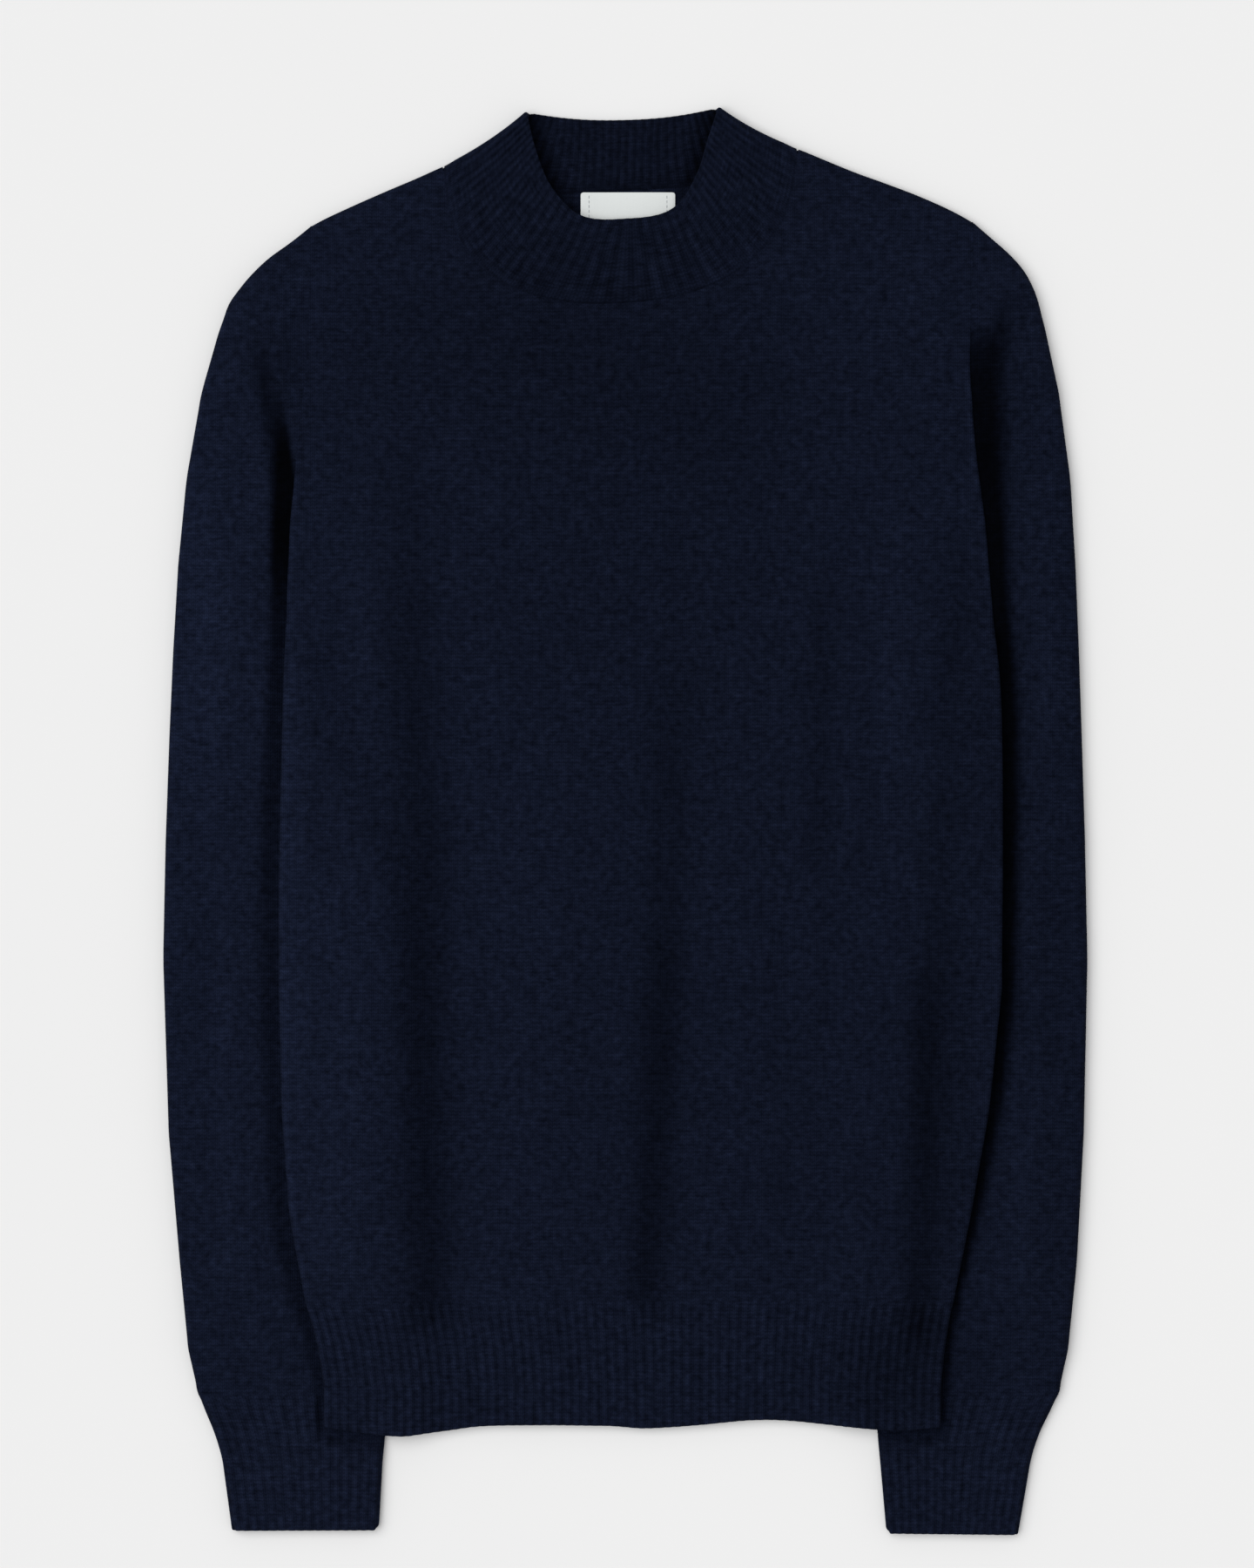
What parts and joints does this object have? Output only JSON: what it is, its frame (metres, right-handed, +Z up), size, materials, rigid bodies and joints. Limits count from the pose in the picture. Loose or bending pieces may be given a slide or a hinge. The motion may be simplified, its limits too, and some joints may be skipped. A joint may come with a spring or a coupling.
{
  "type": "mock neck sweater, laid flat",
  "caption": "Long-sleeved knitted sweater with a short ribbed stand collar, ribbed cuffs and hem, laid flat with its body over its sleeves.",
  "frame": {"origin": "middle of the bounding box on the surface that the sweater lies on", "axes": "+Y from the hem to the collar, +X to the wearer's left, +Z up from the surface, the front of the garment up"},
  "size_m": [0.4886, 0.7546, 0.0144],
  "materials": {
    "navy_plain_knit": "matt fine wool knit",
    "navy_rib_knit": "matt ribbed wool knit",
    "white_woven_label": "smooth woven tape, bare"
  },
  "bodies": {
    "root": {"front_panel": "navy_plain_knit", "back_panel": "navy_plain_knit", "left_sleeve": "navy_plain_knit", "right_sleeve": "navy_plain_knit", "front_hem_rib": "navy_rib_knit", "back_hem_rib": "navy_rib_knit", "left_cuff": "navy_rib_knit", "right_cuff": "navy_rib_knit", "collar": "navy_rib_knit", "neck_label": "white_woven_label"}
  },
  "joints": []
}
